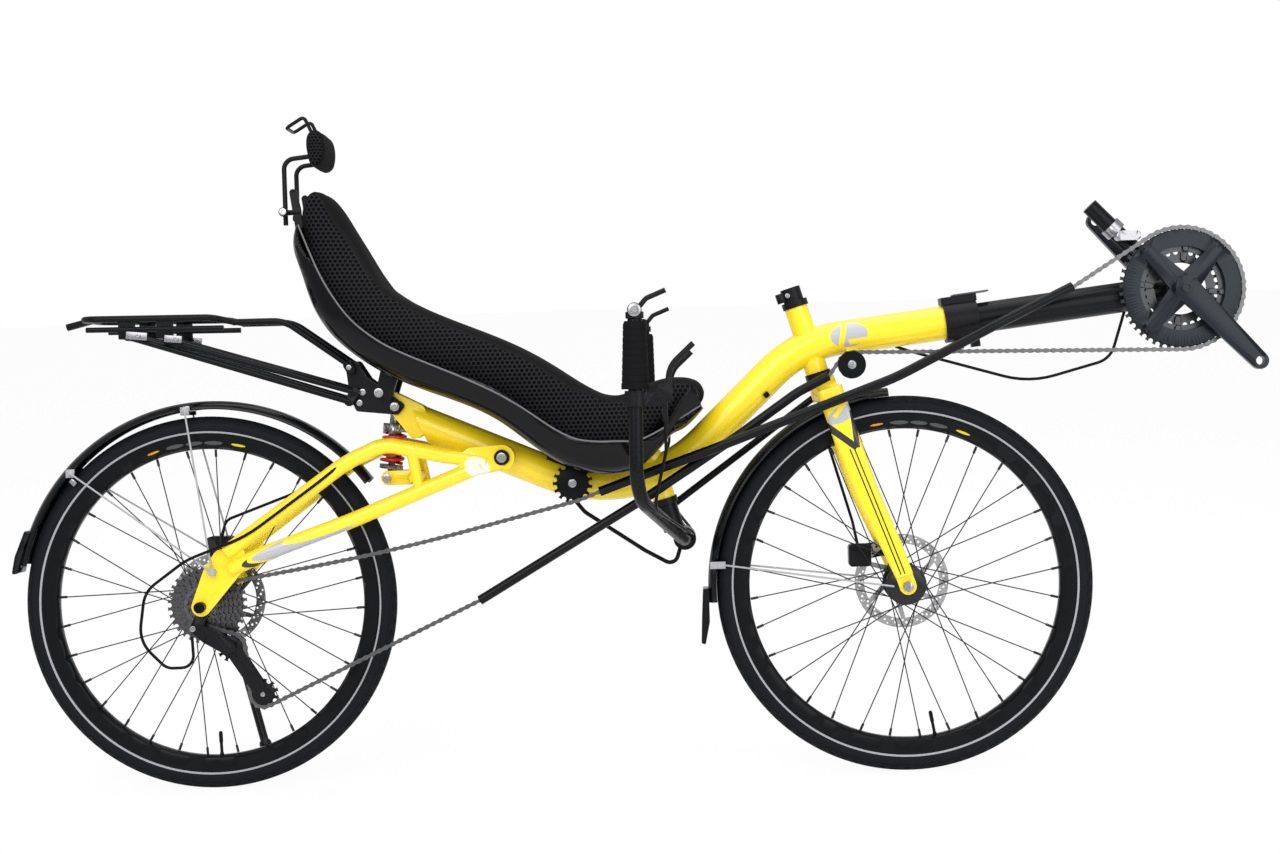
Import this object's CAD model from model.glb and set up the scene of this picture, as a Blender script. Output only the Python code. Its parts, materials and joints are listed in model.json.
# %% [markdown]
# # A recumbent bicycle, dressed for its picture
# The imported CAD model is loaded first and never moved. Everything made here is fitted to it, and
# rides on the CAD body that carries it, so a steered fork takes its fender and brake along.

# %% Load the frame
import math
import bmesh
import bpy
import numpy as np
from mathutils import Matrix, Vector
from mathutils.bvhtree import BVHTree
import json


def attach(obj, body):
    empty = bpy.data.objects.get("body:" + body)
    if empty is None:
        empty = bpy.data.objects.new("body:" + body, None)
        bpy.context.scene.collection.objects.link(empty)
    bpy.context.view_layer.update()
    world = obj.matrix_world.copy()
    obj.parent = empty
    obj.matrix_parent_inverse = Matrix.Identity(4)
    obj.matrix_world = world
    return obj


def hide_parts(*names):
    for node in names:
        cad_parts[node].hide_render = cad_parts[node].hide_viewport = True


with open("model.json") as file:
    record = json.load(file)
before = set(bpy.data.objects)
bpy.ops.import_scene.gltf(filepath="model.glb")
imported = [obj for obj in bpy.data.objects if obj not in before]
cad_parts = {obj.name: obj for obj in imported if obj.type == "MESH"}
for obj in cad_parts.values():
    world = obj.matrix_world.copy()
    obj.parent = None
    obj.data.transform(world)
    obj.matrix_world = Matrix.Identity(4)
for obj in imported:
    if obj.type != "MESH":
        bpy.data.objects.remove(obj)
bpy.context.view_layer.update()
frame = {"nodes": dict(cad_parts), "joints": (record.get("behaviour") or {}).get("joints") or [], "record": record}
nodes = frame["nodes"]

# %% [markdown]
# The bicycle leans on its side stand, but its parts are easiest to describe with it held upright.
# So a place is given in millimetres with the rear axle over x = 0 and the ground at z = 0, and
# one matrix leans it and brings it to the model's own origin. The rear wheel's joint fixes that matrix.

# %% Upright millimetres to leaning metres
LEAN = math.radians(9.0)
AXLE_Z = 316.5
WHEELBASE = 1176.0
MM = 0.001

rear_joint = next(joint for joint in frame["joints"] if joint["name"] == "rear_wheel_spin")
rear_hub = Vector(rear_joint["pos_m"])
tilt = Matrix.Rotation(-LEAN, 4, "X")
shift = Matrix.Translation(rear_hub - tilt @ Vector((0, 0, AXLE_Z * MM)))
LEANT = shift @ tilt


def at(x, y, z):
    """A point of the upright bicycle, in millimetres, as it stands in the model."""
    return LEANT @ Vector((x * MM, y * MM, z * MM))


def set_down(place):
    """The matrix that sets a piece down at a place of the upright bicycle, and leans it with it."""
    return LEANT @ Matrix.Translation(Vector(place) * MM)


print("front hub", at(WHEELBASE, 0, AXLE_Z))

# %% [markdown]
# The camera stands to the bicycle's right, about three metres away and a little above the wheels,
# and looks almost square at it. The bicycle is what leans, so the camera is set in upright
# coordinates and then leant with it.

# %% Camera
EYE = (813.1, -3193.9, 649.0)
YAW, PITCH, ROLL = -0.0236, 0.0175, -0.0302
FOCAL_SHARE = 1888.2 / 1280

forward = Vector((math.sin(YAW) * math.cos(PITCH), math.cos(YAW) * math.cos(PITCH), -math.sin(PITCH)))
level_right = Vector((math.cos(YAW), -math.sin(YAW), 0))
level_up = level_right.cross(forward)
right = level_right * math.cos(ROLL) + level_up * math.sin(ROLL)
up = level_up * math.cos(ROLL) - level_right * math.sin(ROLL)
stance = Matrix((right, up, -forward)).transposed().to_4x4()
stance.translation = Vector(EYE) * MM

camera_data = bpy.data.cameras.new("camera")
camera_data.sensor_width = 36
camera_data.lens = 36 * FOCAL_SHARE
camera = bpy.data.objects.new("camera", camera_data)
bpy.context.scene.collection.objects.link(camera)
camera.matrix_world = LEANT @ stance
bpy.context.scene.camera = camera
print("lens", round(camera_data.lens, 1), "mm")

# %% [markdown]
# A white room: a pale floor that catches the shadow, a world that is white to the eye
# but gives only a plain level of light and reflections, and three large soft lamps.

# %% Floor, world and lamps
def select_only(*pieces):
    """Deselect everything, then select these pieces and make the first one active."""
    if bpy.context.object and bpy.context.object.mode != "OBJECT":
        bpy.ops.object.mode_set(mode="OBJECT")
    bpy.ops.object.select_all(action="DESELECT")
    for piece in pieces:
        piece.select_set(True)
    if pieces:
        bpy.context.view_layer.objects.active = pieces[0]


def edit_whole(piece):
    """Open a piece in edit mode with all of it selected."""
    select_only(piece)
    bpy.ops.object.mode_set(mode="EDIT")
    bpy.ops.mesh.select_all(action="SELECT")


def select_faces(piece, wanted):
    """In edit mode, select the faces that pass a test and no others."""
    shape = bmesh.from_edit_mesh(piece.data)
    for face in shape.faces:
        face.select = wanted(face)
    bmesh.update_edit_mesh(piece.data)


def dress(piece, material, body):
    """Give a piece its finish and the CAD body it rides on."""
    piece.data.materials.append(material)
    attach(piece, body)


def new_material(name):
    """A node material that holds only its shader and its output."""
    material = bpy.data.materials.new(name)
    material.use_nodes = True
    return material


def set_inputs(node, values):
    """Set a node's constant inputs from a table of socket names and values."""
    for socket, value in values.items():
        node.inputs[socket].default_value = value


WORLD_LIGHT = 0.62
world = bpy.data.worlds.new("white_room")
world.use_nodes = True
bpy.context.scene.world = world
tree = world.node_tree
tree.nodes.clear()
path = tree.nodes.new("ShaderNodeLightPath")
seen = tree.nodes.new("ShaderNodeMath")
seen.operation = "MAXIMUM"
strength = tree.nodes.new("ShaderNodeMapRange")
set_inputs(strength, {"To Min": WORLD_LIGHT, "To Max": 1.0})
background = tree.nodes.new("ShaderNodeBackground")
background.inputs["Color"].default_value = (1, 1, 1, 1)
output = tree.nodes.new("ShaderNodeOutputWorld")
tree.links.new(path.outputs["Is Camera Ray"], seen.inputs[0])
tree.links.new(path.outputs["Is Transmission Ray"], seen.inputs[1])
tree.links.new(seen.outputs[0], strength.inputs["Value"])
tree.links.new(strength.outputs["Result"], background.inputs["Strength"])
tree.links.new(background.outputs[0], output.inputs["Surface"])

FLOOR_SIZE = 14.0
FLOOR_GLOW = 0.93
select_only()
bpy.ops.mesh.primitive_plane_add(size=FLOOR_SIZE)
floor = bpy.context.object
floor.name = "floor"
floor_look = new_material("pale_floor")
tree = floor_look.node_tree
tree.nodes.clear()
matte = tree.nodes.new("ShaderNodeBsdfDiffuse")
matte.inputs["Color"].default_value = (0.93, 0.93, 0.93, 1)
glow = tree.nodes.new("ShaderNodeEmission")
set_inputs(glow, {"Color": (1, 1, 1, 1), "Strength": 1.0})
path = tree.nodes.new("ShaderNodeLightPath")
mix = tree.nodes.new("ShaderNodeMixShader")
share = tree.nodes.new("ShaderNodeMath")
share.operation = "MULTIPLY"
share.inputs[1].default_value = FLOOR_GLOW
output = tree.nodes.new("ShaderNodeOutputMaterial")
tree.links.new(path.outputs["Is Camera Ray"], share.inputs[0])
tree.links.new(share.outputs[0], mix.inputs["Fac"])
tree.links.new(matte.outputs[0], mix.inputs[1])
tree.links.new(glow.outputs[0], mix.inputs[2])
tree.links.new(mix.outputs[0], output.inputs["Surface"])
floor.data.materials.append(floor_look)

# lamp rows: name, place in metres, size in metres, watts
LAMPS = (
    ("key", (-1.0, -2.6, 2.6), 2.4, 60),
    ("fill", (1.8, -2.2, 1.6), 2.0, 30),
    ("top", (0.2, 0.4, 3.4), 3.0, 60),
)
for name, place, size, watts in LAMPS:
    lamp_data = bpy.data.lights.new(name, "AREA")
    lamp_data.size = size
    lamp_data.energy = watts
    lamp = bpy.data.objects.new(name, lamp_data)
    lamp.location = place
    lamp.rotation_euler = (Vector((0, 0, 0.5)) - Vector(place)).to_track_quat("-Z", "Y").to_euler()
    bpy.context.scene.collection.objects.link(lamp)
bpy.context.scene.view_settings.view_transform = "Standard"

# %% [markdown]
# ## Finishes
# Real paint, metal and rubber are never one flat colour. Each finish here is a Principled shader
# whose colour and gloss drift a little with fine noise in object space, so the grain keeps its
# size on every piece. Values that don't vary are set straight on the shader's sockets.

# %% A finish from noise
def shade(colour, factor):
    return tuple(min(1.0, channel * factor) for channel in colour) + (1,)


def add_noise(tree, scale, detail):
    """Fine noise in object space, as a factor."""
    coordinates = tree.nodes.new("ShaderNodeTexCoord")
    noise = tree.nodes.new("ShaderNodeTexNoise")
    set_inputs(noise, {"Scale": scale, "Detail": detail})
    tree.links.new(coordinates.outputs["Object"], noise.inputs["Vector"])
    return noise.outputs["Fac"]


def vary_roughness(tree, factor, rough_range, factor_range=(0, 1)):
    """Let the shader's roughness run through its range as a factor runs through its own."""
    gloss = tree.nodes.new("ShaderNodeMapRange")
    set_inputs(gloss, {"From Min": factor_range[0], "From Max": factor_range[1],
                       "To Min": rough_range[0], "To Max": rough_range[1]})
    tree.links.new(factor, gloss.inputs["Value"])
    tree.links.new(gloss.outputs["Result"], tree.nodes["Principled BSDF"].inputs["Roughness"])


def add_relief(tree, height, strength, distance):
    """Fine bumps that follow a height."""
    bump = tree.nodes.new("ShaderNodeBump")
    set_inputs(bump, {"Strength": strength, "Distance": distance})
    tree.links.new(height, bump.inputs["Height"])
    tree.links.new(bump.outputs["Normal"], tree.nodes["Principled BSDF"].inputs["Normal"])


# most of the noise lies between these two factors
NOISE_LOW, NOISE_HIGH = 0.3, 0.7


def finish(name, colour, metallic=0.0, roughness=0.4, coat=0.0, grain=80.0, drift=0.08, tint=0.08,
           relief=0.0, specular=0.5):
    """A material whose colour and roughness vary with a fine noise, with an optional fine relief."""
    material = new_material(name)
    tree = material.node_tree
    shader = tree.nodes["Principled BSDF"]
    set_inputs(shader, {"Metallic": metallic, "Coat Weight": coat, "Specular IOR Level": specular})
    noise = add_noise(tree, grain, 5)
    vary_roughness(tree, noise, (max(0.02, roughness - drift), roughness + drift), (NOISE_LOW, NOISE_HIGH))
    ramp = tree.nodes.new("ShaderNodeValToRGB")
    stops = ((NOISE_LOW, shade(colour, 1 - tint)), (NOISE_HIGH, shade(colour, 1 + tint)))
    for stop, (position, tone) in zip(ramp.color_ramp.elements, stops):
        stop.position = position
        stop.color = tone
    tree.links.new(noise, ramp.inputs["Fac"])
    tree.links.new(ramp.outputs["Color"], shader.inputs["Base Color"])
    if relief:
        add_relief(tree, noise, 0.5, relief)
    return material


YELLOW = (0.93, 0.69, 0.014)
BLACK = (0.0045, 0.005, 0.0062)
PAINT = {"roughness": 0.27, "coat": 0.35, "grain": 420, "drift": 0.04, "tint": 0.02, "specular": 0.4}
black_paint = finish("black_satin_paint", BLACK, roughness=0.30, grain=260, tint=0.2, specular=0.12)
boom_paint = finish("boom_black_anodised", BLACK, roughness=0.27, grain=320, drift=0.03, specular=0.14)
shell_gloss = finish("shell_gloss_black", (0.003, 0.003, 0.004), roughness=0.10, grain=30, drift=0.03,
                     specular=0.16)
plastic = finish("black_plastic", BLACK, roughness=0.36, grain=500, tint=0.2, relief=0.00003, specular=0.08)
tube_plastic = finish("chain_tube_plastic", BLACK, roughness=0.24, grain=200, drift=0.06, specular=0.14)
rubber = finish("rubber", (0.006, 0.006, 0.007), roughness=0.72, grain=600, tint=0.25, relief=0.00006,
                specular=0.06)
steel = finish("bright_steel", (0.38, 0.38, 0.39), metallic=1.0, roughness=0.26, grain=700, drift=0.06)
disc_steel = finish("disc_steel", (0.42, 0.42, 0.43), metallic=1.0, roughness=0.30, grain=900, drift=0.06)
spoke_steel = finish("dark_spoke_steel", (0.030, 0.030, 0.033), metallic=0.8, roughness=0.34, grain=900,
                     specular=0.2)
chain_steel = finish("chain_steel", (0.13, 0.13, 0.135), metallic=1.0, roughness=0.36, grain=900, tint=0.25)
silver = finish("silver_alloy", (0.34, 0.34, 0.36), metallic=1.0, roughness=0.30, grain=500)
dark_alloy = finish("blue_grey_alloy", (0.008, 0.011, 0.017), metallic=0.2, roughness=0.32, grain=420,
                    tint=0.12, specular=0.3)
black_alloy = finish("black_alloy", (0.009, 0.009, 0.011), metallic=0.1, roughness=0.32, grain=420, tint=0.2,
                     specular=0.12)
ring_alloy = finish("chainring_alloy", (0.055, 0.058, 0.064), metallic=0.8, roughness=0.32, grain=500)
cog_steel = finish("cog_steel", (0.11, 0.11, 0.115), metallic=1.0, roughness=0.30, grain=600, tint=0.25)
spring_red = finish("red_spring_paint", (0.60, 0.010, 0.006), roughness=0.24, coat=0.4, grain=200, drift=0.05,
                    specular=0.35)
print("finishes:", len(bpy.data.materials))

# %% [markdown]
# The graphics on the fork and the swingarm are painted shapes: a silver blade with a dark edge on
# each lower arm, and dark arrow lines down the fork. They are drawn in the finish itself with
# coordinates that run along the tube, so they turn and steer with it. The name panels stay plain.

# %% Painted shapes
def upright_frame(tree, origin):
    """Coordinates in metres of the upright bicycle, from an origin given in its millimetres."""
    coordinates = tree.nodes.new("ShaderNodeTexCoord")
    mapping = tree.nodes.new("ShaderNodeMapping")
    mapping.vector_type = "TEXTURE"
    mapping.inputs["Location"].default_value = at(*origin)
    mapping.inputs["Rotation"].default_value = (-LEAN, 0, 0)
    parts = tree.nodes.new("ShaderNodeSeparateXYZ")
    tree.links.new(coordinates.outputs["Object"], mapping.inputs["Vector"])
    tree.links.new(mapping.outputs["Vector"], parts.inputs["Vector"])
    return parts


def calculate(tree, operation, *values):
    """A Math node; each value is a number or another node's output."""
    node = tree.nodes.new("ShaderNodeMath")
    node.operation = operation
    for index, value in enumerate(values):
        if isinstance(value, (int, float)):
            node.inputs[index].default_value = value
        else:
            tree.links.new(value, node.inputs[index])
    return node.outputs[0]


def along_and_aside(tree, parts, start, end):
    """Places along and beside the line between two points of the side view, from its middle."""
    middle = [(first + second) / 2 * MM for first, second in zip(start, end)]
    length = math.hypot(end[0] - start[0], end[1] - start[1])
    ux, uz = (end[0] - start[0]) / length, (end[1] - start[1]) / length
    from_x = calculate(tree, "SUBTRACT", parts.outputs["X"], middle[0])
    from_z = calculate(tree, "SUBTRACT", parts.outputs["Z"], middle[1])
    x_ux, z_uz = calculate(tree, "MULTIPLY", from_x, ux), calculate(tree, "MULTIPLY", from_z, uz)
    z_ux, x_uz = calculate(tree, "MULTIPLY", from_z, ux), calculate(tree, "MULTIPLY", from_x, uz)
    return calculate(tree, "ADD", x_ux, z_uz), calculate(tree, "SUBTRACT", z_ux, x_uz), length * MM


def both(tree, *masks):
    """1 where every mask is 1."""
    result = masks[0]
    for mask in masks[1:]:
        result = calculate(tree, "MULTIPLY", result, mask)
    return result


def inside_leaf(tree, parts, start, end, width):
    """1 inside an ellipse whose long axis runs from start to end."""
    along, aside, length = along_and_aside(tree, parts, start, end)
    squares = []
    for distance, half in ((along, length / 2), (aside, width / 2 * MM)):
        share = calculate(tree, "ABSOLUTE", calculate(tree, "DIVIDE", distance, half))
        squares.append(calculate(tree, "POWER", share, 2.0))
    return calculate(tree, "LESS_THAN", calculate(tree, "ADD", *squares), 1.0)


def inside_stroke(tree, parts, start, end, width):
    """1 inside a straight stroke of an even width."""
    along, aside, length = along_and_aside(tree, parts, start, end)
    near = calculate(tree, "LESS_THAN", calculate(tree, "ABSOLUTE", aside), width / 2 * MM)
    return both(tree, near, calculate(tree, "LESS_THAN", calculate(tree, "ABSOLUTE", along), length / 2))


def inside_band(tree, value, low, high):
    """1 where a value lies between two limits."""
    above = calculate(tree, "GREATER_THAN", value, low)
    return both(tree, above, calculate(tree, "LESS_THAN", value, high))


def mix_colour(tree, mask, first, second):
    """The first colour where the mask is 0 and the second where it is 1."""
    mix = tree.nodes.new("ShaderNodeMix")
    mix.data_type = "RGBA"
    sockets = [socket for socket in mix.inputs if socket.type == "RGBA"]
    for socket, value in zip(sockets, (first, second)):
        if isinstance(value, tuple):
            socket.default_value = (*value, 1)
        else:
            tree.links.new(value, socket)
    tree.links.new(mask, mix.inputs["Factor"])
    return [socket for socket in mix.outputs if socket.type == "RGBA"][0]


def paint_over(material, mask, colour):
    """Mixes a colour over the material's own wherever the mask is 1."""
    tree = material.node_tree
    base = tree.nodes["Principled BSDF"].inputs["Base Color"]
    tree.links.new(mix_colour(tree, mask, base.links[0].from_socket, colour), base)


SILVER_PAINT = (0.42, 0.43, 0.46)
GRAPHIC_BLACK = (0.020, 0.021, 0.025)
CREAM = (0.80, 0.76, 0.62)
ORIGIN = (0, 0, 0)


def paint_shapes(material, outside, rows):
    """Paints leaves and strokes, each where the piece lies further out than a given distance."""
    tree = material.node_tree
    parts = upright_frame(tree, ORIGIN)
    outer = calculate(tree, "GREATER_THAN", calculate(tree, "ABSOLUTE", parts.outputs["Y"]), outside * MM)
    for kind, start, end, width, colour in rows:
        shape = inside_leaf if kind == "leaf" else inside_stroke
        paint_over(material, both(tree, shape(tree, parts, start, end, width), outer), colour)


# rows: kind, start and end of its long axis in the side view, width, colour
ARM_SHAPES = (
    ("leaf", (73, 384), (246, 441), 30, GRAPHIC_BLACK),
    ("leaf", (82, 391), (268, 452), 31, YELLOW),
    ("leaf", (90, 394), (262, 452), 26, SILVER_PAINT),
    ("leaf", (140, 419), (300, 471), 22, YELLOW),
    ("stroke", (190, 411), (285, 446), 1.6, SILVER_PAINT),
    ("leaf", (446, 545), (485, 524), 34, CREAM),
)
FORK_SHAPES = (
    ("leaf", (1052, 592), (1099, 620), 26, SILVER_PAINT),
    ("stroke", (1062, 600), (1078, 622), 7, YELLOW),
    ("stroke", (1047, 588), (1098, 549), 11, GRAPHIC_BLACK),
    ("stroke", (1092, 612), (1099, 549), 9, GRAPHIC_BLACK),
    ("stroke", (1086, 547), (1164, 337), 2.4, GRAPHIC_BLACK),
    ("stroke", (1093, 549), (1170.5, 338), 2.4, GRAPHIC_BLACK),
)
FRAME_SHAPES = (
    ("leaf", (1061, 733), (1124, 741), 40, SILVER_PAINT),
    ("stroke", (1078, 715), (1086, 760), 9, YELLOW),
    ("stroke", (1092, 725), (1124, 729), 9, YELLOW),
)
arm_paint = finish("arm_yellow_paint", YELLOW, **PAINT)
fork_paint = finish("fork_yellow_paint", YELLOW, **PAINT)
fender_black = finish("fender_black", BLACK, roughness=0.16, grain=200, drift=0.04, specular=0.2)
frame_paint = finish("frame_yellow_paint", YELLOW, **PAINT)
# the stays of the fenders lie outside their blades and stay bare
STAY_FROM = 23.5
paint_shapes(arm_paint, 40, ARM_SHAPES)
paint_shapes(fork_paint, 30, FORK_SHAPES)
paint_shapes(frame_paint, 8, FRAME_SHAPES)
fender_tree = fender_black.node_tree
stay_side = calculate(fender_tree, "ABSOLUTE", upright_frame(fender_tree, ORIGIN).outputs["Y"])
stay_mask = calculate(fender_tree, "GREATER_THAN", stay_side, STAY_FROM * MM)
paint_over(fender_black, stay_mask, (0.36, 0.36, 0.38))


def on_wheel(hub, radius, angle):
    """A place in the side view at a radius and an angle from a hub."""
    turn = math.radians(angle)
    return (hub[0] + radius * math.cos(turn), hub[2] + radius * math.sin(turn))


RIM_GREY = (0.07, 0.07, 0.075)
# rows: middle angle, length in degrees, width, colour
RIM_MARKS = ((0, 5.2, 4, (0.62, 0.50, 0.02)), (9, 6.5, 6.5, RIM_GREY), (16, 6, 6.5, RIM_GREY),
             (23, 6.5, 6.5, RIM_GREY), (31, 4.6, 3.5, (0.66, 0.26, 0.01)))
REAR_HUB = (0, 0, AXLE_Z)
FRONT_HUB = (WHEELBASE, 0, AXLE_Z)
RIM_MARK_R = 272.0
rim_paint = {}
for name, hub, first_angle in (("front", FRONT_HUB, 67.5), ("rear", REAR_HUB, 78)):
    material = finish(name + "_rim_black", BLACK, roughness=0.24, grain=300, drift=0.04, specular=0.12)
    rows = []
    for angle, length, width, colour in RIM_MARKS:
        start = on_wheel(hub, RIM_MARK_R, first_angle + angle - length / 2)
        end = on_wheel(hub, RIM_MARK_R, first_angle + angle + length / 2)
        rows.append(("leaf", start, end, width, colour))
    paint_shapes(material, 2, rows)
    rim_paint[name] = material
painted = (arm_paint, fork_paint, frame_paint, *rim_paint.values())
print("painted shapes on", [material.name for material in painted])

# %% [markdown]
# A CAD node that already has the right shape keeps it and only takes a finish. The table gives
# each finish the nodes that wear it.

# %% Finishes of the CAD nodes
WEARERS = (
    (frame_paint, ("main_frame",)),
    (arm_paint, ("swingarm",)),
    (fork_paint, ("fork",)),
    (boom_paint, ("boom",)),
    (black_paint, ("handlebar", "stem", "tie_rod", "rack", "headrest_frame", "headrest_loop")),
    (black_alloy, ("boom_clamp", "headset_cups", "steerer_clamp", "mount_plates", "seat_supports",
                   "front_caliper", "rear_caliper", "shifters", "kickstand", "rear_derailleur",
                   "brake_levers", "pivot_bolt", "bb_cups", "rear_axle_nuts")),
    (shell_gloss, ("seat_shell",)),
    (fender_black, ("rear_fender", "front_fender")),
    (plastic, ("mid_idler", "front_idler", "frame_cables", "bar_cables", "fork_cable")),
    (tube_plastic, ("power_tube", "return_tube")),
    (rim_paint["front"], ("front_rim",)),
    (rim_paint["rear"], ("rear_rim",)),
    (spoke_steel, ("front_hub", "rear_hub")),
    (steel, ("front_disc", "rear_disc", "shock_bolts", "idler_bolts", "front_skewer")),
    (cog_steel, ("cassette",)),
    (silver, ("shock", "front_derailleur")),
    (spring_red, ("spring",)),
    (dark_alloy, ("crankset", "left_crank")),
    (ring_alloy, ("inner_rings",)),
    (chain_steel, ("chain_front", "chain_rear")),
    (rubber, ("front_tyre", "rear_tyre", "grips")),
    (plastic, ("seat_cushion", "headrest_pad")),
)
for material, names in WEARERS:
    for name in names:
        piece = nodes[name]
        piece.data.materials.clear()
        piece.data.materials.append(material)
undressed = set(nodes) - {name for _, names in WEARERS for name in names}
print("nodes without a finish:", sorted(undressed))

# %% [markdown]
# A CAD mesh is made of loose flat triangles, and long tubes show them as stripes. Most nodes are
# therefore worn by a copy of their own mesh: its doubled points are merged, and faces that meet
# at a small angle are shaded smoothly, while true edges stay sharp. Nodes that get a modelled
# piece further on are left out.

# %% Smooth copies of the CAD nodes
MODELLED = ("front_tyre", "rear_tyre", "front_disc", "rear_disc", "chain_front", "chain_rear", "seat_cushion",
            "headrest_pad", "grips")
body_of = {name: body for body, names in frame["record"]["behaviour"]["bodies"].items() for name in names}


def merged_copy(name, node):
    """A copy of a CAD node's mesh with its doubled points merged."""
    piece = nodes[node].copy()
    piece.data = nodes[node].data.copy()
    piece.name = name
    bpy.context.scene.collection.objects.link(piece)
    edit_whole(piece)
    bpy.ops.mesh.remove_doubles(threshold=0.00001)
    bpy.ops.object.mode_set(mode="OBJECT")
    return piece


for node in sorted(set(nodes) - set(MODELLED)):
    copy = merged_copy(node + "_smooth", node)
    bpy.ops.object.shade_smooth_by_angle(angle=math.radians(32))
    weighted = copy.modifiers.new("weighted", "WEIGHTED_NORMAL")
    weighted.keep_sharp = True
    bpy.ops.object.modifier_apply(modifier="weighted")
    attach(copy, body_of[node])
    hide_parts(node)
print("smooth copies:", len(nodes) - len(MODELLED))

# %% [markdown]
# ## Tyres
# The real tyre is a smooth black casing with shallow tread blocks and a pale reflecting line on
# each side. A torus gives the round casing; every other face of its outer rows is then pushed out,
# which cuts the grooves between the blocks. The reflecting line is part of the rubber's finish.

# %% Tyre rubber
def ring_frame(tree, hub):
    """Distance from a wheel's axle and from its middle plane, in metres."""
    parts = upright_frame(tree, hub)
    squares = calculate(tree, "ADD", calculate(tree, "MULTIPLY", parts.outputs["X"], parts.outputs["X"]),
                        calculate(tree, "MULTIPLY", parts.outputs["Z"], parts.outputs["Z"]))
    return calculate(tree, "SQRT", squares)


# the reflecting line lies between these two radii
LINE_IN, LINE_OUT = 288.5, 291.5
tyre_rubber = {}
for name, hub in (("front", FRONT_HUB), ("rear", REAR_HUB)):
    material = finish(name + "_tyre_rubber", (0.008, 0.009, 0.011), roughness=0.6, grain=400, tint=0.2,
                      relief=0.00005, specular=0.07)
    tree = material.node_tree
    radius = ring_frame(tree, hub)
    paint_over(material, inside_band(tree, radius, LINE_IN * MM, LINE_OUT * MM), (0.34, 0.35, 0.37))
    tyre_rubber[name] = material

# %% Tyre shape
TYRE_R = 18.5 * MM
TYRE_CENTRE_R = 298.0 * MM
TREAD_STEPS = 180
CASING_STEPS = 28
TREAD_RISE = 1.0 * MM
TREAD_HALF_ANGLE = 58


def in_tread(face):
    """Whether a face of the torus belongs to a tread block."""
    middle = face.calc_center_median()
    radial = math.hypot(middle.x, middle.y) - TYRE_CENTRE_R
    angle = math.degrees(math.atan2(middle.z, radial))
    step = int((math.degrees(math.atan2(middle.y, middle.x)) % 360) / 360 * TREAD_STEPS)
    row = int(abs(angle) // (360 / CASING_STEPS))
    return abs(angle) < TREAD_HALF_ANGLE and (row == 0 or (step + row * 2) % 4 != 0)


def make_tyre(name, hub, body):
    select_only()
    bpy.ops.mesh.primitive_torus_add(major_radius=TYRE_CENTRE_R, minor_radius=TYRE_R - TREAD_RISE,
                                     major_segments=TREAD_STEPS, minor_segments=CASING_STEPS)
    tyre = bpy.context.object
    tyre.name = name
    bpy.ops.object.mode_set(mode="EDIT")
    bpy.ops.mesh.select_mode(type="FACE")
    bpy.ops.mesh.select_all(action="DESELECT")
    select_faces(tyre, in_tread)
    bpy.ops.mesh.extrude_region_shrink_fatten(TRANSFORM_OT_shrink_fatten={"value": TREAD_RISE})
    bpy.ops.object.mode_set(mode="OBJECT")
    tyre.data.transform(set_down(hub) @ Matrix.Rotation(math.pi / 2, 4, "X"))
    bpy.ops.object.shade_smooth_by_angle(angle=math.radians(28))
    dress(tyre, tyre_rubber[name.split("_")[0]], body)
    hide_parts(name.replace("_tread", ""))
    return tyre


front_tyre = make_tyre("front_tyre_tread", FRONT_HUB, "front_wheel")
make_tyre("rear_tyre_tread", REAR_HUB, "rear_wheel")
print("tyre faces:", len(front_tyre.data.polygons))

# %% [markdown]
# ## Chain
# A real chain is hundreds of equal links: two pairs of side plates shaped like an eight, and a
# roller on each pin. One outer and one inner link are modelled with a few dozen faces, and copied
# every half inch along the line that the chain takes over its wheels.

# %% The chain's line
PITCH = 12.7
CHAIN_Y = -45.0
REAR_CHAIN_Y = -53.75
REAR_SAG = 10.0
# a wheel a little smaller than the arc of the same sag, so that both straight ends still meet it
ARC_SHARE = 0.7


def pitch_radius(teeth):
    return PITCH / 2 / math.sin(math.pi / teeth)


def tangent(first, second):
    """Where a straight run leaves one wheel and meets the next; a wheel is x, z, radius, turn."""
    (x1, z1, r1, s1), (x2, z2, r2, s2) = first, second
    length = math.hypot(x2 - x1, z2 - z1)
    heading = math.atan2(z2 - z1, x2 - x1) - math.asin((s2 * r2 - s1 * r1) / length)
    normal = (-math.sin(heading), math.cos(heading))
    leave = (x1 - s1 * r1 * normal[0], z1 - s1 * r1 * normal[1])
    return leave, (x2 - s2 * r2 * normal[0], z2 - s2 * r2 * normal[1])


def sagging(first, second, sag):
    """A very large wheel between two others, which gives the run between them its sag."""
    leave, meet = tangent(first, second)
    across = (meet[0] - leave[0], meet[1] - leave[1])
    span = math.hypot(*across)
    radius = ARC_SHARE * span ** 2 / (8 * sag)
    down = (across[1] / span, -across[0] / span)
    rise = radius - sag
    return ((leave[0] + meet[0]) / 2 + down[0] * rise, (leave[1] + meet[1]) / 2 + down[1] * rise, radius, -1)


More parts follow.
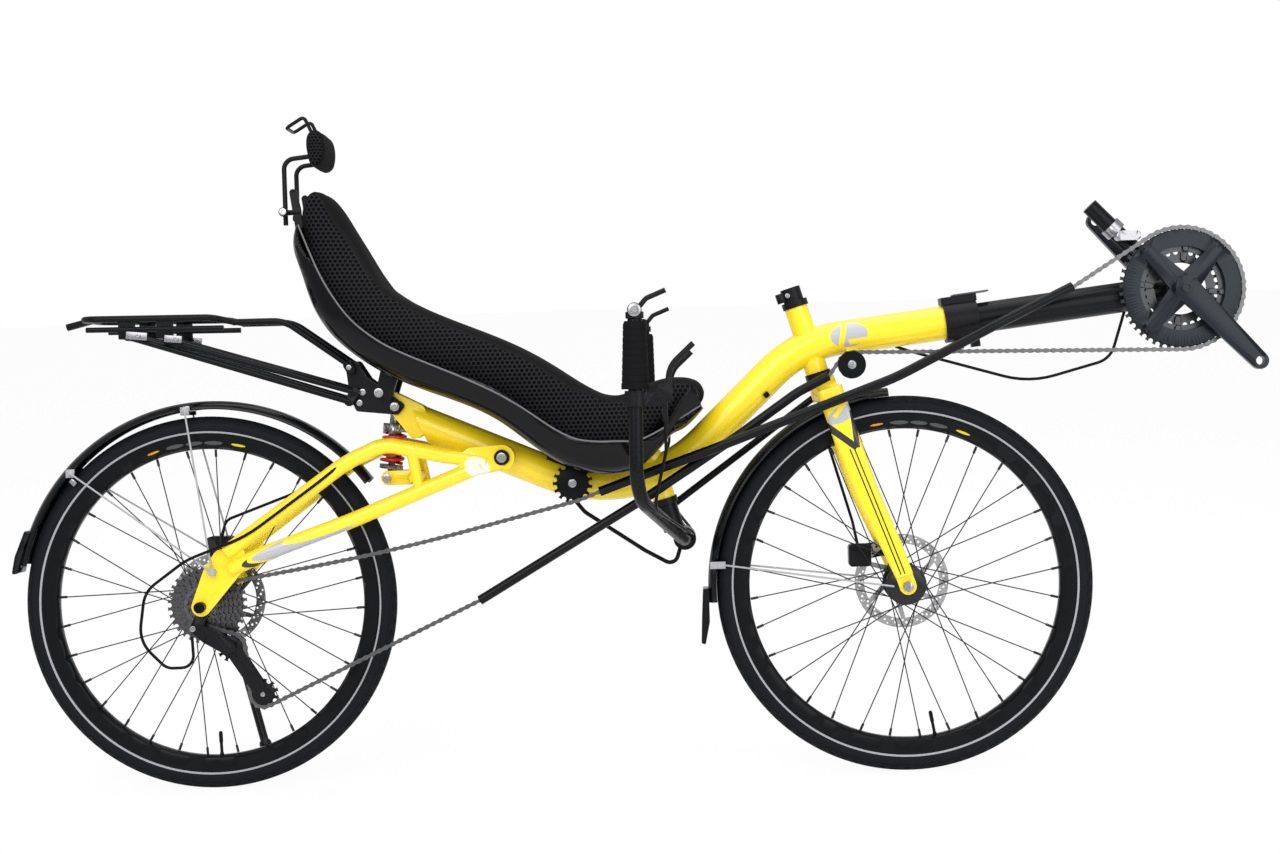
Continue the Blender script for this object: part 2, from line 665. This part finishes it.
def chain_line(wheels, step=2.0):
    """Closely spaced points along the chain's line."""
    points = []
    before = None
    for index in range(len(wheels) - 1):
        leave, meet = tangent(wheels[index], wheels[index + 1])
        if before is not None:
            x, z, radius, turn = wheels[index]
            start = math.atan2(before[1] - z, before[0] - x)
            sweep = ((math.atan2(leave[1] - z, leave[0] - x) - start) * turn) % (2 * math.pi)
            count = max(2, int(radius * sweep / step))
            for place in range(1, count):
                angle = start + turn * sweep * place / count
                points.append((x + radius * math.cos(angle), z + radius * math.sin(angle)))
        run = math.hypot(meet[0] - leave[0], meet[1] - leave[1])
        count = max(2, int(run / step))
        for place in range(count + 1):
            share = place / count
            points.append((leave[0] + (meet[0] - leave[0]) * share, leave[1] + (meet[1] - leave[1]) * share))
        before = meet
    reach_in = [points[0][axis] * 2 - points[int(PITCH / step)][axis] for axis in (0, 1)]
    reach_out = [points[-1][axis] * 2 - points[-1 - int(PITCH / step)][axis] for axis in (0, 1)]
    return [reach_in, *points, reach_out]


def every_pitch(points):
    """Places along a line, one pitch apart."""
    line = np.array(points)
    steps = np.hypot(*np.diff(line, axis=0).T)
    run = np.concatenate(([0], np.cumsum(steps)))
    marks = np.arange(0, run[-1], PITCH)
    return np.stack((np.interp(marks, run, line[:, 0]), np.interp(marks, run, line[:, 1])), axis=1)


RING_WHEEL = (1643.0, 797.0, pitch_radius(50), -1)
FRONT_IDLER_WHEEL = (1094.0, 687.0, pitch_radius(10), 1)
MID_IDLER_WHEEL = (624.0, 504.0, pitch_radius(15), -1)
COG_WHEEL = (0.0, AXLE_Z, pitch_radius(15), 1)
GUIDE_WHEEL = (44.0, 246.0, pitch_radius(11), -1)
TENSION_WHEEL = (95.0, 166.0, pitch_radius(11), 1)
FRONT_WHEELS = [(1474.0, 811.0, 0, 1), RING_WHEEL, FRONT_IDLER_WHEEL, (1056.0, 670.0, 0, 1)]
REAR_WHEELS = [(668.0, 488.0, 0, 1), MID_IDLER_WHEEL, sagging(MID_IDLER_WHEEL, COG_WHEEL, REAR_SAG),
               COG_WHEEL, GUIDE_WHEEL, TENSION_WHEEL, (462.0, 312.0, 0, 1)]

# %% One link of each kind
PLATE_R = 4.1
PLATE_THICK = 0.9
PLATE_WAIST = 0.62
ROLLER_R = 3.9
ROLLER_WIDTH = 3.4


def link_plate(name, y, radius, thick):
    """A side plate: a round plate split in half, pulled out by one pitch, its waist pinched in."""
    select_only()
    bpy.ops.mesh.primitive_cylinder_add(vertices=12, radius=radius, depth=thick,
                                        rotation=(math.pi / 2, math.pi / 12, 0))
    plate = bpy.context.object
    plate.name = name
    bpy.ops.object.transform_apply(location=False, rotation=True, scale=False)
    bpy.ops.object.mode_set(mode="EDIT")
    shape = bmesh.from_edit_mesh(plate.data)
    for vertex in shape.verts:
        vertex.select = vertex.co.x > 0
    shape.select_flush_mode()
    bmesh.update_edit_mesh(plate.data)
    bpy.ops.mesh.select_mode(type="VERT")
    bpy.ops.transform.translate(value=(PITCH, 0, 0))
    bpy.ops.mesh.select_all(action="SELECT")
    bpy.ops.mesh.bisect(plane_co=(PITCH / 2, 0, 0), plane_no=(1, 0, 0))
    shape = bmesh.from_edit_mesh(plate.data)
    for vertex in shape.verts:
        vertex.select = abs(vertex.co.x - PITCH / 2) < 0.01
    bmesh.update_edit_mesh(plate.data)
    bpy.ops.transform.resize(value=(1, 1, PLATE_WAIST))
    bpy.ops.object.mode_set(mode="OBJECT")
    plate.data.transform(Matrix.Translation((0, y, 0)))
    return plate


def chain_link(name, plate_y):
    plates = [link_plate(name + "_left", plate_y, PLATE_R, PLATE_THICK),
              link_plate(name + "_right", -plate_y, PLATE_R, PLATE_THICK)]
    select_only()
    bpy.ops.mesh.primitive_cylinder_add(vertices=8, radius=ROLLER_R, depth=ROLLER_WIDTH,
                                        rotation=(math.pi / 2, 0, 0))
    roller = bpy.context.object
    bpy.ops.object.transform_apply(location=False, rotation=True, scale=False)
    edit_whole(roller)
    bpy.ops.mesh.bevel(offset=0.3, segments=1)
    bpy.ops.object.mode_set(mode="OBJECT")
    select_only(*plates, roller)
    bpy.ops.object.join()
    link = bpy.context.object
    link.name = name
    return link


outer_link = chain_link("outer_link", 2.75)
inner_link = chain_link("inner_link", 1.75)
print("faces in a link:", len(outer_link.data.polygons))

# %% The links copied along their line
def lay_chain(name, wheels, y):
    marks = every_pitch(chain_line(wheels))
    copies = []
    for index in range(len(marks) - 1):
        (x, z), (next_x, next_z) = marks[index], marks[index + 1]
        turn = Matrix.Rotation(-math.atan2(next_z - z, next_x - x), 4, "Y")
        source = outer_link if index % 2 else inner_link
        link = source.copy()
        link.data = source.data.copy()
        link.data.transform(LEANT @ Matrix.Scale(MM, 4) @ Matrix.Translation((x, y, z)) @ turn)
        bpy.context.scene.collection.objects.link(link)
        copies.append(link)
    select_only(*copies)
    bpy.ops.object.join()
    chain = bpy.context.object
    chain.name = name
    bpy.ops.object.shade_smooth_by_angle(angle=math.radians(35))
    dress(chain, chain_steel, "frame")
    return chain, len(copies)


front_chain, front_count = lay_chain("front_chain_links", FRONT_WHEELS, CHAIN_Y)
rear_chain, rear_count = lay_chain("rear_chain_links", REAR_WHEELS, REAR_CHAIN_Y)
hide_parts("chain_front")
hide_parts("chain_rear")
for link in (outer_link, inner_link):
    bpy.data.objects.remove(link)
print("links:", front_count, rear_count)

# %% [markdown]
# ## Brake discs
# A disc brake's rotor is a thin steel ring drilled with rows of holes that shed water and heat.
# The CAD disc has the ring and its swept arms, so a merged copy of it is drilled with a boolean:
# one cutter is made of small pegs set on spirals round the ring.

# %% Drilled discs
SPIRALS = 24
# rows: distance from the axle, peg radius, degrees round from the spiral's start
PEG_ROWS = ((67.5, 2.0, 0), (72.0, 2.2, 5), (76.3, 1.7, 10))
PEG_LENGTH = 6


def drilled_disc(name, node, hub_x, y, body):
    disc = merged_copy(name, node)
    disc.data.materials.clear()
    pegs = []
    for turn in range(SPIRALS):
        for radius, peg_r, offset in PEG_ROWS:
            angle = math.radians(turn * 360 / SPIRALS + offset)
            select_only()
            bpy.ops.mesh.primitive_cylinder_add(vertices=8, radius=peg_r * MM, depth=PEG_LENGTH * MM)
            peg = bpy.context.object
            place = Matrix.Translation((hub_x * MM + radius * MM * math.cos(angle), y * MM,
                                        AXLE_Z * MM + radius * MM * math.sin(angle)))
            peg.data.transform(LEANT @ place @ Matrix.Rotation(math.pi / 2, 4, "X"))
            pegs.append(peg)
    select_only(*pegs)
    bpy.ops.object.join()
    cutter = bpy.context.object
    select_only(disc)
    drill = disc.modifiers.new("drill", "BOOLEAN")
    drill.operation = "DIFFERENCE"
    drill.object = cutter
    drill.solver = "EXACT"
    bpy.ops.object.modifier_apply(modifier="drill")
    bpy.data.objects.remove(cutter)
    bpy.ops.object.shade_smooth_by_angle(angle=math.radians(30))
    dress(disc, disc_steel, body)
    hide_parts(node)
    return disc


front_rotor = drilled_disc("front_rotor", "front_disc", WHEELBASE, 39.5, "front_wheel")
rear_rotor = drilled_disc("rear_rotor", "rear_disc", 0, 52.0, "rear_wheel")
print("disc faces:", len(front_rotor.data.polygons), len(rear_rotor.data.polygons))

# %% [markdown]
# ## Seat cushion
# The cushion is a long foam pad in an airy cover: plain fine fabric down the front, a coarse
# honeycomb mesh round the sides, and a flat seam between them. Soft goods swell and pull in
# between their edges, so the CAD cushion is remeshed and gets one short cloth simulation with a
# little pressure inside. The pattern of each zone is worked out in the finish from the surface.

# %% Fabrics
# a pad faces sideways where its normal leans this far, and its seam lies in the band around it
SIDE_FROM, SEAM_LOW, SEAM_HIGH = 0.52, 0.46, 0.56
HOLE_SHARE = 0.37


def honeycomb(tree, vector, size):
    """A hexagon net: 0 in the holes, 1 on the threads, from two offset grids of points."""
    distances = []
    for shift_u, shift_v in ((0, 0), (0.5, 0.866)):
        axes = []
        for axis, period, shift in ((0, 1.0, shift_u), (1, 1.732, shift_v)):
            scaled = calculate(tree, "ADD", calculate(tree, "DIVIDE", vector[axis], size), shift)
            wrapped = calculate(tree, "WRAP", scaled, period / 2, -period / 2)
            axes.append(calculate(tree, "MULTIPLY", wrapped, wrapped))
        distances.append(calculate(tree, "SQRT", calculate(tree, "ADD", axes[0], axes[1])))
    nearest = calculate(tree, "MINIMUM", distances[0], distances[1])
    return calculate(tree, "GREATER_THAN", nearest, HOLE_SHARE)


def cushion_fabric(name, centre, mesh_size):
    """Plain fine cloth where the pad faces its user, honeycomb net where it faces sideways."""
    material = new_material(name)
    tree = material.node_tree
    shader = tree.nodes["Principled BSDF"]
    set_inputs(shader, {"Sheen Weight": 0.008, "Specular IOR Level": 0.06, "Sheen Roughness": 0.5})
    parts = upright_frame(tree, centre)
    facing_side = tree.nodes.new("ShaderNodeVectorMath")
    facing_side.operation = "DOT_PRODUCT"
    facing_side.inputs[1].default_value = tilt @ Vector((0, 1, 0))
    surface = tree.nodes.new("ShaderNodeTexCoord")
    tree.links.new(surface.outputs["Normal"], facing_side.inputs[0])
    side = calculate(tree, "ABSOLUTE", facing_side.outputs["Value"])
    on_side = calculate(tree, "GREATER_THAN", side, SIDE_FROM)
    seam = inside_band(tree, side, SEAM_LOW, SEAM_HIGH)
    net = honeycomb(tree, (parts.outputs["X"], parts.outputs["Z"]), mesh_size)
    weave = add_noise(tree, 900, 3)
    plain = mix_colour(tree, weave, (0.002, 0.002, 0.0022), (0.007, 0.007, 0.008))
    netted = mix_colour(tree, net, (0.0010, 0.0010, 0.0012), (0.016, 0.016, 0.018))
    cloth = mix_colour(tree, on_side, plain, netted)
    colour = mix_colour(tree, seam, cloth, (0.008, 0.008, 0.009))
    tree.links.new(colour, shader.inputs["Base Color"])
    vary_roughness(tree, weave, (0.78, 0.95))
    net_height = calculate(tree, "MULTIPLY", calculate(tree, "MULTIPLY", net, on_side), 0.8)
    height = calculate(tree, "ADD", net_height, calculate(tree, "MULTIPLY", weave, 0.2))
    height = calculate(tree, "SUBTRACT", height, calculate(tree, "MULTIPLY", seam, 1.2))
    add_relief(tree, height, 0.8, 0.0012)
    return material


seat_fabric = cushion_fabric("seat_fabric", (500, 0, 700), 0.0078)
headrest_fabric = cushion_fabric("headrest_fabric", (212, 0, 1076), 0.006)

# %% Swelling the padded pieces
FULL_PLUMP_AT = 0.02
HOLD_GAP = 0.0004


def swell(name, node, beside, voxel, plump, smoothing, pressure, cap, frames):
    """The CAD solid as padded fabric: remeshed, rounded, then blown up by a cloth simulation."""
    pad = merged_copy(name, node)
    pad.data.materials.clear()
    remesh = pad.modifiers.new("remesh", "REMESH")
    remesh.mode = "VOXEL"
    remesh.voxel_size = voxel
    bpy.ops.object.modifier_apply(modifier="remesh")
    edit_whole(pad)
    bpy.ops.mesh.vertices_smooth(factor=0.5, repeat=smoothing)
    bpy.ops.object.mode_set(mode="OBJECT")
    hard = []
    for neighbour in (nodes[name].data for name in beside):
        corners = [vertex.co[:] for vertex in neighbour.vertices]
        hard.append(BVHTree.FromPolygons(corners, [face.vertices[:] for face in neighbour.polygons]))
    start = np.array([vertex.co[:] for vertex in pad.data.vertices])
    outward = np.array([vertex.normal[:] for vertex in pad.data.vertices])
    clear = np.array([min(tree.find_nearest(vertex.co)[3] for tree in hard) for vertex in pad.data.vertices])
    # rounding the corners takes foam away: it is given back where the pad is clear of what it rests on
    start += outward * (plump * np.clip(clear / FULL_PLUMP_AT, 0, 1))[:, None]
    pad.data.vertices.foreach_set("co", start.ravel())
    cloth = pad.modifiers.new("cloth", "CLOTH")
    cloth.settings.use_pressure = True
    cloth.settings.uniform_pressure_force = pressure
    cloth.settings.effector_weights.gravity = 0
    cloth.settings.quality = 5
    cloth.collision_settings.use_collision = False
    cloth.point_cache.frame_start = 1
    cloth.point_cache.frame_end = frames
    for frame_number in range(1, frames + 1):
        bpy.context.scene.frame_set(frame_number)
    swollen = pad.evaluated_get(bpy.context.evaluated_depsgraph_get()).data
    end = np.array([vertex.co[:] for vertex in swollen.vertices])
    pad.modifiers.remove(cloth)
    bpy.context.scene.frame_set(1)
    move = end - start
    length = np.linalg.norm(move, axis=1, keepdims=True)
    limit = cap * np.tanh(length / cap) / np.maximum(length, 1e-9)
    end = start + move * limit
    held = 0
    for index in range(len(start)):
        for tree in hard:
            hit = tree.find_nearest(Vector(end[index]), cap * 2)
            if hit[0] is not None and (Vector(end[index]) - hit[0]).dot(hit[1]) < HOLD_GAP:
                end[index] = start[index]
                held += 1
                break
    print(name, "points held back by what it rests on:", held)
    pad.data.vertices.foreach_set("co", end.ravel())
    print(name, "largest move", round(float(length.max()) * 1000, 1), "mm, kept to", cap * 1000)
    edit_whole(pad)
    bpy.ops.mesh.vertices_smooth(factor=0.5, repeat=6)
    bpy.ops.object.mode_set(mode="OBJECT")
    finer = pad.modifiers.new("finer", "SUBSURF")
    finer.levels = 1
    finer.render_levels = 1
    select_only(pad)
    bpy.ops.object.modifier_apply(modifier="finer")
    bpy.ops.object.shade_smooth()
    return pad


seat_pad = swell("seat_pad", "seat_cushion", ("seat_shell",),
                 voxel=0.006, plump=0.006, smoothing=150, pressure=4.0, cap=0.009, frames=14)
dress(seat_pad, seat_fabric, "frame")
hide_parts("seat_cushion")
head_pad = swell("head_pad", "headrest_pad", ("headrest_frame", "headrest_loop"),
                 voxel=0.004, plump=0.002, smoothing=20, pressure=4.0, cap=0.005, frames=14)
dress(head_pad, headrest_fabric, "frame")
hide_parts("headrest_pad")
print("padded faces:", len(seat_pad.data.polygons), len(head_pad.data.polygons))

# %% [markdown]
# ## Small hardware
# Bolt heads and caps are what makes a frame look assembled. One socket bolt is
# modelled at unit size: a cylinder whose rim is bevelled and whose top is inset and pushed in.
# Each place then takes its own scaled copy.

# %% A socket bolt
def unit_bolt():
    select_only()
    bpy.ops.mesh.primitive_cylinder_add(vertices=24, radius=1, depth=1, location=(0, 0, 0.5))
    bolt = bpy.context.object
    bpy.ops.object.transform_apply(location=True, rotation=False, scale=False)
    bpy.ops.object.mode_set(mode="EDIT")
    bpy.ops.mesh.select_mode(type="FACE")
    select_faces(bolt, lambda face: face.normal.z > 0.9)
    bpy.ops.mesh.bevel(offset=0.14, segments=2)
    select_faces(bolt, lambda face: face.normal.z > 0.99)
    bpy.ops.mesh.inset(thickness=0.36)
    bpy.ops.mesh.extrude_region_move(TRANSFORM_OT_translate={"value": (0, 0, -0.55)})
    bpy.ops.object.mode_set(mode="OBJECT")
    bolt.name = "unit_bolt"
    return bolt


bolt_pattern = unit_bolt()
print("bolt faces:", len(bolt_pattern.data.polygons))


def facing(place, direction, radius, height):
    """Matrix that sets a unit piece on a place of the upright bicycle, its top along a direction."""
    turn = Vector(direction).to_track_quat("Z", "Y").to_matrix().to_4x4()
    size = Matrix.Diagonal((radius * MM, radius * MM, height * MM, 1))
    return set_down(place) @ turn @ size


def set_bolts(name, body, material, rows):
    """Copies of the bolt at the places in rows: place, direction, head radius, head height."""
    copies = []
    for place, direction, radius, height in rows:
        bolt = bolt_pattern.copy()
        bolt.data = bolt_pattern.data.copy()
        bolt.data.transform(facing(place, direction, radius, height))
        bpy.context.scene.collection.objects.link(bolt)
        copies.append(bolt)
    select_only(*copies)
    if len(copies) > 1:
        bpy.ops.object.join()
    group = bpy.context.object
    group.name = name
    bpy.ops.object.shade_smooth_by_angle(angle=math.radians(30))
    dress(group, material, body)
    return group


# rows: place, direction it faces, head radius, head height
FRAME_BOLTS = (
    ((507, -55.6, 550), (0, -1, 0), 8.5, 4), ((507, 55.6, 550), (0, 1, 0), 8.5, 4),
    ((328, -37.6, 640), (0, -1, 0), 6, 3), ((328, 37.6, 640), (0, 1, 0), 6, 3),
    ((311, -37.6, 520), (0, -1, 0), 6, 3), ((311, 37.6, 520), (0, 1, 0), 6, 3),
    ((624, -62.4, 504), (0, -1, 0), 5.5, 2.5), ((1094, -53.6, 687), (0, -1, 0), 5.5, 2.5),
    ((22.6, -78, 376.4), (0, -1, 0), 4.5, 3.5), ((-14, -78, 281), (0, -1, 0), 5, 3),
    ((274, -28.6, 666), (0, -1, 0), 5.5, 3.5), ((254, -39.6, 708), (0, -1, 0), 4.5, 3),
    ((302, -34.8, 664), (0, -1, 0), 8, 4), ((268, -28.6, 648), (0, -1, 0), 5.5, 3.5),
    ((-92, -66.8, 771), (0, -1, 0), 4.5, 3), ((-28, -66.8, 764), (0, -1, 0), 4.5, 3),
    ((-92, 66.8, 771), (0, 1, 0), 4.5, 3), ((-28, 66.8, 764), (0, 1, 0), 4.5, 3),
    ((157, -65.6, 969), (0, -1, 0), 6, 3), ((157, 65.6, 969), (0, 1, 0), 6, 3),
    ((44, -59.4, 246), (0, -1, 0), 4, 2), ((95, -59.4, 166), (0, -1, 0), 4, 2),
    ((992, -16.6, 806), (0, -1, 0), 4, 3),
)
frame_bolt_heads = set_bolts("frame_bolt_heads", "frame", steel, FRAME_BOLTS)
CRANK_BOLTS = (((1643, -75.6, 797), (0, -1, 0), 9.5, 4), ((1643, 75.6, 797), (0, 1, 0), 9.5, 4))
crank_bolt_heads = set_bolts("crank_bolt_heads", "cranks", dark_alloy, CRANK_BOLTS)
bpy.data.objects.remove(bolt_pattern)
print("bolt heads:", len(FRAME_BOLTS) + len(CRANK_BOLTS))

# %% [markdown]
# The tyre valves stand inward from the rims: a thin stem with a plastic cap. One point extruded
# along the profile and spun round the axis gives a turned part like these.

# %% Turned parts
def turned(name, outline, place, direction, steps=20):
    """A solid of revolution: the outline is radius and height in millimetres, from the bottom up."""
    select_only()
    bpy.ops.mesh.primitive_plane_add(size=MM)
    piece = bpy.context.object
    piece.name = name
    bpy.ops.object.mode_set(mode="EDIT")
    bpy.ops.mesh.select_mode(type="VERT")
    bpy.ops.mesh.select_all(action="SELECT")
    bpy.ops.mesh.merge(type="CENTER")
    bpy.ops.transform.translate(value=(outline[0][0] * MM, 0, outline[0][1] * MM))
    for (radius, height), (next_radius, next_height) in zip(outline, outline[1:]):
        step = ((next_radius - radius) * MM, 0, (next_height - height) * MM)
        bpy.ops.mesh.extrude_vertices_move(TRANSFORM_OT_translate={"value": step})
    bpy.ops.mesh.select_all(action="SELECT")
    bpy.ops.mesh.spin(steps=steps, angle=2 * math.pi, center=(0, 0, 0), axis=(0, 0, 1))
    bpy.ops.mesh.select_all(action="SELECT")
    bpy.ops.mesh.remove_doubles(threshold=0.00002)
    bpy.ops.mesh.normals_make_consistent(inside=False)
    bpy.ops.object.mode_set(mode="OBJECT")
    turn = Vector(direction).to_track_quat("Z", "Y").to_matrix().to_4x4()
    piece.data.transform(set_down(place) @ turn)
    bpy.ops.object.shade_smooth_by_angle(angle=math.radians(35))
    return piece


VALVE = ((0, -2), (3.4, -2), (3.4, 4), (2.6, 5), (2.6, 22), (3.3, 23), (3.3, 38), (2.4, 41), (0, 41))
VALVE_FOOT_R = 262.0
# rows: name, hub, a place that the valve points away from, body
VALVES = (("front_valve", FRONT_HUB, (WHEELBASE + 44, 0, 62), "front_wheel"),
          ("rear_valve", REAR_HUB, (8, 0, 55), "rear_wheel"))
for name, hub, place, body in VALVES:
    inward = (Vector(hub) - Vector(place)).normalized()
    foot = Vector(hub) - inward * VALVE_FOOT_R
    valve = turned(name, VALVE, foot, inward)
    dress(valve, plastic, body)
print("valve height:", VALVE[-1][1], "mm")

# %% Covers and shifter discs
IDLER_COVER = ((0, 0), (22.5, 0), (23.2, 0.6), (23.2, 1.6), (22.4, 2.4), (8, 2.4), (7, 3.2), (0, 3.2))
SHIFTER_DISC = ((0, 0), (9.5, 0), (10.2, 0.8), (10.2, 3), (8.6, 4), (5, 4), (4.4, 3.2), (0, 3.2))
HUB_CAP = ((0, 0), (8.8, 0), (9.2, 1), (9.2, 5), (7.4, 7), (4, 7), (3.4, 5.5), (0, 5.5))
# rows: name, outline, place, direction, body, material, slot
COVERS = (
    ("front_idler_cover", IDLER_COVER, (1094, -50.2, 687), (0, -1, 0), "frame", plastic, "black_plastic"),
    ("right_shifter_disc", SHIFTER_DISC, (742, -331.8, 777), (0, -1, 0), "bars", silver, "bare_metal"),
    ("left_shifter_disc", SHIFTER_DISC, (742, 331.8, 777), (0, 1, 0), "bars", silver, "bare_metal"),
    ("rear_axle_cap", HUB_CAP, (0, -84.2, AXLE_Z), (0, -1, 0), "frame", plastic, "black_plastic"),
)
for name, outline, place, direction, body, material, slot in COVERS:
    cover = turned(name, outline, place, direction, 32)
    dress(cover, material, body)
print("covers:", len(COVERS))

# %% [markdown]
# ## Grips
# The real grips are wrapped: a soft tape wound round the bar, with a glossy clamping ring at the
# foot. The profile of a tapered sleeve gets a shallow step at each turn of the tape, and is spun
# round the bar.

# %% Wrapped grips
BAR_R = 11.6
TAPE_TURNS = 9
RING_HIGH, TOP_CAP = 10, 4
GRIP_LOW_Z, GRIP_HIGH_Z = 656.2, 760.0


def wrapped_grip(side):
    height = GRIP_HIGH_Z - GRIP_LOW_Z
    outline = [(BAR_R, 0), (21.0, 0), (21.5, 1.5), (21.5, 9), (20.6, RING_HIGH)]
    pitch = (height - RING_HIGH - TOP_CAP) / TAPE_TURNS
    for turn in range(TAPE_TURNS):
        low = RING_HIGH + pitch * turn
        radius = 21.0 - 3.2 * low / height
        outline += [(radius - 0.6, low + 0.5), (radius - 0.1, low + 1.8), (radius, low + 4),
                    (radius - 0.3, low + pitch - 0.4)]
    outline += [(17.0, height - 3), (16.0, height), (BAR_R, height), (BAR_R, 0)]
    name = "grip_left" if side > 0 else "grip_right"
    return turned(name, outline, (740.0, side * 320.0, GRIP_LOW_Z), (0.018, 0, 1), 32)


for side in (-1, 1):
    grip = wrapped_grip(side)
    dress(grip, rubber, "bars")
    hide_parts("grips")
print("grips from", GRIP_LOW_Z, "to", GRIP_HIGH_Z)

# %% [markdown]
# ## Seat edge
# A pale piping runs round the lip of the shell. The lip is the upper edge of the shell's loft, so
# a thin tube is laid along the same stations, a little outside it.

# %% Piping on the shell's lip
# rows down the shell: x, z, depth of the lip, half width
LIP_ROWS = (
    (183, 942, 5, 110), (190, 866, 28, 133), (210, 808, 38, 145), (241, 760, 40, 150), (278, 726, 40, 150),
    (325, 695, 40, 150), (436, 648, 40, 150), (511, 611, 40, 150), (600, 545, 40, 150), (660, 522, 50, 150),
    (719, 523, 50, 150), (758, 545, 32, 146), (792, 581, 14, 138), (845, 622, 5, 112),
)


def lip_points(side):
    points = []
    for index, (x, z, lip, half) in enumerate(LIP_ROWS):
        before = LIP_ROWS[max(index - 1, 0)]
        after = LIP_ROWS[min(index + 1, len(LIP_ROWS) - 1)]
        along = Vector((after[0] - before[0], 0, after[1] - before[1])).normalized()
        inward = along.cross(Vector((0, 1, 0))).normalized()
        if inward.z < 0:
            inward = -inward
        points.append(Vector((x, side * half * 0.995, z)) + inward * (lip + 2.2))
    return points


def tube_along(name, points, radius, body, material):
    """A smooth thin tube along points of the upright bicycle."""
    curve = bpy.data.curves.new(name, "CURVE")
    curve.dimensions = "3D"
    curve.bevel_depth = radius * MM
    curve.bevel_resolution = 3
    curve.resolution_u = 6
    curve.use_fill_caps = True
    line = curve.splines.new("NURBS")
    line.points.add(len(points) - 1)
    for spot, point in zip(line.points, points):
        spot.co = (*(LEANT @ (Vector(point) * MM)), 1)
    line.order_u = 3
    line.use_endpoint_u = True
    holder = bpy.data.objects.new(name, curve)
    bpy.context.scene.collection.objects.link(holder)
    select_only(holder)
    bpy.ops.object.convert(target="MESH")
    tube = bpy.context.object
    bpy.ops.object.shade_smooth()
    dress(tube, material, body)
    return tube


piping_grey = finish("piping_grey", (0.11, 0.11, 0.115), roughness=0.45, grain=400)
PIPING_R = 1.5
for name, side in (("piping_right", -1), ("piping_left", 1)):
    tube_along(name, lip_points(side), PIPING_R, "frame", piping_grey)
lip = lip_points(1)
print("piping length about", round(sum((after - before).length for before, after in zip(lip, lip[1:]))), "mm")

# %% [markdown]
# ## Clamps and clips
# Thin silver clamps hold the fender stays, bare brackets bolt the rack's deck to its struts, and a
# plastic saddle holds the cables on the frame. Each is a short block bevelled along all its edges.

# %% Small blocks
BLOCK_BEVEL = 1.2


def small_block(name, place, size, body, material, pitch):
    """A block with rounded edges, its long side turned by a pitch in the side view."""
    select_only()
    bpy.ops.mesh.primitive_cube_add(size=1)
    block = bpy.context.object
    block.name = name
    block.scale = [length * MM for length in size]
    bpy.ops.object.transform_apply(location=False, rotation=False, scale=True)
    edit_whole(block)
    bpy.ops.mesh.bevel(offset=BLOCK_BEVEL * MM, segments=3)
    bpy.ops.object.mode_set(mode="OBJECT")
    turn = Matrix.Rotation(-math.radians(pitch), 4, "Y")
    block.data.transform(set_down(place) @ turn)
    bpy.ops.object.shade_smooth_by_angle(angle=math.radians(35))
    dress(block, material, body)


plate_grey = finish("plate_grey", (0.075, 0.08, 0.09), metallic=0.5, roughness=0.35, grain=400)
# rows: name, place, size along, across and up, body, material, slot, pitch
BLOCKS = (
    ("rear_stay_clamp_low", (-224.3, 0, 528.3), (9, 48, 12), "frame", silver, "bare_metal", 45),
    ("rear_stay_clamp_high", (-27.2, 0, 647), (12, 48, 9), "frame", silver, "bare_metal", 5),
    ("front_stay_clamp", (868.4, 0, 357.4), (7, 44, 8), "fork", silver, "bare_metal", 0),
    ("cable_clip", (952, -26, 641), (9, 8, 9), "frame", plastic, "black_plastic", 40),
    ("right_rack_bracket_rear", (-95, -65.6, 771), (36, 3.2, 13), "frame", silver, "bare_metal", -6),
    ("left_rack_bracket_rear", (-95, 65.6, 771), (36, 3.2, 13), "frame", silver, "bare_metal", -6),
    ("right_rack_bracket_front", (-34, -65.6, 764), (30, 3.2, 12), "frame", silver, "bare_metal", -6),
    ("left_rack_bracket_front", (-34, 65.6, 764), (30, 3.2, 12), "frame", silver, "bare_metal", -6),
    ("boom_top_plate", (1298.5, 0, 801.6), (60, 34, 3), "frame", plate_grey, "dark_metal", 6.5),
)
for name, place, size, body, material, slot, pitch in BLOCKS:
    small_block(name, place, size, body, material, pitch)
print("blocks:", len(BLOCKS))

# %% Last lines
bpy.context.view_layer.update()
import json
